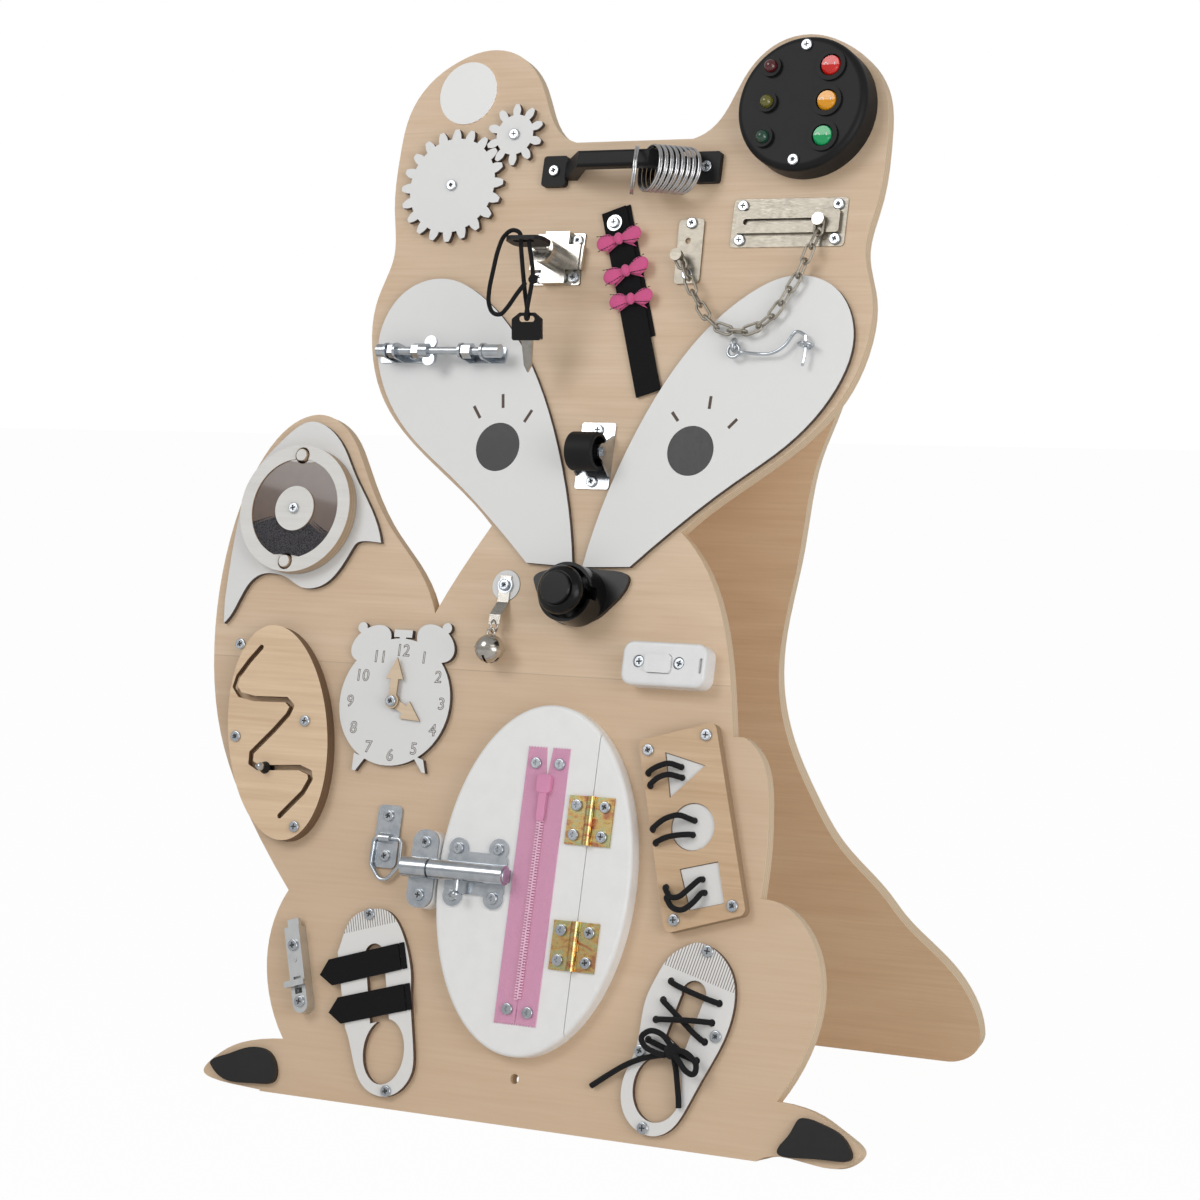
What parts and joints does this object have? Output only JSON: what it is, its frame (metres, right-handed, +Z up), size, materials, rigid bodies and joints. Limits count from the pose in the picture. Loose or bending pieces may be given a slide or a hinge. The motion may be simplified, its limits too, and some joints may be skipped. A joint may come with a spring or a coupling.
{
  "type": "busy board",
  "caption": "Animal-shaped wooden play board that stands on a folding rear panel and carries switches, gears, locks, a hinged belly door and other fastenings.",
  "frame": {"origin": "middle of the front board's foot, on the floor under the middle of its thickness", "axes": "+X to the right seen from the front, +Y to the back, +Z up"},
  "size_m": [0.572, 0.3333, 0.7622],
  "materials": {
    "birch": "satin",
    "white_laminate": "satin",
    "black_laminate": "satin",
    "zinc": "satin",
    "yellow_zinc": "satin",
    "nickel": "polished",
    "black_plastic": "satin",
    "nose_plastic": "glossy",
    "white_plastic": "satin",
    "grey_plastic": "matt",
    "red_plastic": "glossy",
    "amber_plastic": "glossy",
    "green_plastic": "glossy",
    "webbing": "matt",
    "lacing_cord": "matt",
    "pink_zip": "matt",
    "white_wood": "painted",
    "lock_plastic": "satin"
  },
  "bodies": {
    "front": {"front_board": "birch", "white_overlays": "white_laminate", "black_overlays": "black_laminate", "board_screws": "zinc", "board_fittings": "zinc", "fixed_webbing": "webbing", "pull_handle": "black_plastic", "piled_rings": "nickel", "lamp_housing": "black_plastic", "lamp_module": "red_plastic", "lock_housing": "nickel", "door_chain": "nickel", "threaded_rod": "zinc", "nose_housing": "nose_plastic", "inline_switch_case": "white_plastic", "maze_board": "birch", "belly_strip": "white_wood", "strip_hinge_leaves": "yellow_zinc", "lacing_plate": "birch", "insert_tethers": "lacing_cord", "shoe_panels": "white_laminate", "shoe_lace": "lacing_cord", "latch_case": "grey_plastic"},
    "rear": {"rear_panel": "birch", "rear_hinge_leaves": "zinc", "spreader_strap": "webbing"},
    "big_gear": {"big_gear": "white_laminate"},
    "small_gear": {"small_gear": "white_laminate"},
    "loose_ring": {"loose_ring": "nickel"},
    "red_rocker": {"red_rocker": "red_plastic"},
    "amber_rocker": {"amber_rocker": "amber_plastic"},
    "green_rocker": {"green_rocker": "green_plastic"},
    "lock_plug": {"lock_key": "lock_plastic"},
    "lock_bolt": {"lock_bolt": "nickel"},
    "hanging_key": {"spare_key": "lock_plastic", "key_cord": "lacing_cord"},
    "chain_stud": {"chain_stud": "nickel"},
    "hook": {"cabin_hook": "zinc"},
    "wing_nut": {"wing_nut": "zinc"},
    "caster": {"caster_wheel": "black_plastic"},
    "nose": {"nose_knob": "nose_plastic"},
    "bell": {"jingle_bell": "nickel"},
    "cord_switch": {"inline_button": "white_plastic"},
    "drum": {"spinning_drum": "white_laminate"},
    "figure": {"maze_figure": "black_plastic"},
    "minute_hand": {"minute_hand": "birch"},
    "hour_hand": {"hour_hand": "birch"},
    "d_ring": {"lashing_ring": "zinc"},
    "door": {"door_leaf": "white_wood", "door_hinge_leaves": "yellow_zinc", "bolt_plate": "zinc", "zip_tape": "pink_zip"},
    "bolt": {"bolt_bar": "zinc"},
    "zip": {"zip_slider": "nickel"},
    "upper_strap": {"upper_shoe_strap": "webbing"},
    "lower_strap": {"lower_shoe_strap": "webbing"},
    "latch": {"latch_lever": "grey_plastic"},
    "triangle": {"triangle_insert": "white_laminate"},
    "disc": {"disc_insert": "white_laminate"},
    "square": {"square_insert": "white_laminate"}
  },
  "joints": [
    {"name": "stand_fold", "type": "hinge", "parent": "front", "child": "rear", "pos_m": [0, 0.16059, 0.55596], "axis": [1, 0, 0], "range_deg": [-30.4, 0], "deforming": ["spreader_strap"]},
    {"name": "big_gear_spin", "type": "hinge", "parent": "front", "child": "big_gear", "pos_m": [-0.1472, 0.17212, 0.65949], "axis": [0, -0.9646, 0.2639], "continuous": true},
    {"name": "small_gear_spin", "type": "hinge", "parent": "front", "child": "small_gear", "pos_m": [-0.0987, 0.18223, 0.69643], "axis": [0, -0.9646, 0.2639], "continuous": true},
    {"name": "ring_slide", "type": "slide", "parent": "front", "child": "loose_ring", "axis": [1, 0, 0], "range_m": [-0.038, 0]},
    {"name": "red_rock", "type": "hinge", "parent": "front", "child": "red_rocker", "pos_m": [0.1608, 0.1752, 0.7363], "axis": [1, 0, 0], "range_deg": [0, 18]},
    {"name": "amber_rock", "type": "hinge", "parent": "front", "child": "amber_rocker", "pos_m": [0.1608, 0.16839, 0.71141], "axis": [1, 0, 0], "range_deg": [0, 18]},
    {"name": "green_rock", "type": "hinge", "parent": "front", "child": "green_rocker", "pos_m": [0.1608, 0.16161, 0.68662], "axis": [1, 0, 0], "range_deg": [0, 18]},
    {"name": "key_turn", "type": "hinge", "parent": "front", "child": "lock_plug", "pos_m": [-0.0495, 0.14053, 0.60842], "axis": [0, -0.9646, 0.2639], "range_deg": [0, 90], "deforming": ["key_cord"]},
    {"name": "lock_bolt_slide", "type": "slide", "parent": "front", "child": "lock_bolt", "axis": [1, 0, 0], "range_m": [0, 0.008]},
    {"name": "hanging_key_swing", "type": "hinge", "parent": "front", "child": "hanging_key", "pos_m": [-0.0528, 0.10878, 0.61782], "axis": [0, 1, 0], "range_deg": [-20, 20], "deforming": ["key_cord"]},
    {"name": "chain_stud_slide", "type": "slide", "parent": "front", "child": "chain_stud", "axis": [1, 0, 0], "range_m": [-0.058, 0], "deforming": ["door_chain"]},
    {"name": "hook_lift", "type": "hinge", "parent": "front", "child": "hook", "pos_m": [0.1059, 0.13141, 0.5372], "axis": [0, -0.9646, 0.2639], "range_deg": [0, 36]},
    {"name": "wing_nut_spin", "type": "hinge", "parent": "front", "child": "wing_nut", "pos_m": [-0.14, 0.12298, 0.5367], "axis": [1, 0, 0], "continuous": true},
    {"name": "caster_spin", "type": "hinge", "parent": "front", "child": "caster", "pos_m": [0.00175, 0.10543, 0.46572], "axis": [1, 0, 0], "continuous": true},
    {"name": "nose_spin", "type": "hinge", "parent": "front", "child": "nose", "pos_m": [0.0047, 0.0647, 0.36914], "axis": [0, -0.9646, 0.2639], "continuous": true},
    {"name": "bell_swing", "type": "hinge", "parent": "front", "child": "bell", "pos_m": [-0.0585, 0.07897, 0.34399], "axis": [0, -0.9646, 0.2639], "range_deg": [-35, 35]},
    {"name": "cord_switch_press", "type": "slide", "parent": "front", "child": "cord_switch", "axis": [0, -0.9646, 0.2639], "range_m": [-0.002, 0], "stiffness_N_per_m": 150},
    {"name": "drum_spin", "type": "hinge", "parent": "front", "child": "drum", "pos_m": [-0.2405, 0.09871, 0.41769], "axis": [0, -0.9646, 0.2639], "continuous": true},
    {"name": "figure_slide", "type": "slide", "parent": "front", "child": "figure", "axis": [0.9977, 0.0179, 0.0656], "range_m": [-0.006, 0.029]},
    {"name": "minute_turn", "type": "hinge", "parent": "front", "child": "minute_hand", "pos_m": [-0.137, 0.0648, 0.28234], "axis": [0, -0.9646, 0.2639], "continuous": true},
    {"name": "hour_turn", "type": "hinge", "parent": "front", "child": "hour_hand", "pos_m": [-0.137, 0.06673, 0.28181], "axis": [0, -0.9646, 0.2639], "continuous": true},
    {"name": "d_ring_lift", "type": "hinge", "parent": "front", "child": "d_ring", "pos_m": [-0.1289, 0.04168, 0.18571], "axis": [-1, 0, 0], "range_deg": [0, 120]},
    {"name": "door_open", "type": "hinge", "parent": "front", "child": "door", "pos_m": [0.0405, 0.0256, 0.16938], "axis": [0, 0.2639, 0.9646], "range_deg": [0, 105]},
    {"name": "bolt_slide", "type": "slide", "parent": "door", "child": "bolt", "axis": [1, 0, 0], "range_m": [0, 0.021]},
    {"name": "zip_slide", "type": "slide", "parent": "door", "child": "zip", "axis": [0, 0.2639, 0.9646], "range_m": [-0.147, 0]},
    {"name": "upper_strap_lift", "type": "hinge", "parent": "front", "child": "upper_strap", "pos_m": [-0.1028, 0.01791, 0.10565], "axis": [-0.2913, 0.2524, 0.9227], "range_deg": [0, 120]},
    {"name": "lower_strap_lift", "type": "hinge", "parent": "front", "child": "lower_strap", "pos_m": [-0.094, 0.01044, 0.07835], "axis": [-0.2729, 0.2539, 0.928], "range_deg": [0, 120]},
    {"name": "latch_pull", "type": "slide", "parent": "front", "child": "latch", "axis": [-0.294, 0.2522, 0.9219], "range_m": [-0.006, 0], "stiffness_N_per_m": 150},
    {"name": "triangle_lift", "type": "slide", "parent": "front", "child": "triangle", "axis": [0, -0.9646, 0.2639], "range_m": [0, 0.012], "deforming": ["insert_tethers"]},
    {"name": "disc_lift", "type": "slide", "parent": "front", "child": "disc", "axis": [0, -0.9646, 0.2639], "range_m": [0, 0.012], "deforming": ["insert_tethers"]},
    {"name": "square_lift", "type": "slide", "parent": "front", "child": "square", "axis": [0, -0.9646, 0.2639], "range_m": [0, 0.012], "deforming": ["insert_tethers"]}
  ],
  "couplings": [
    {"joint": "small_gear_spin", "follows": "big_gear_spin", "ratio": -2},
    {"joint": "key_turn", "follows": "lock_bolt_slide", "rad_per_m": 196.35}
  ]
}
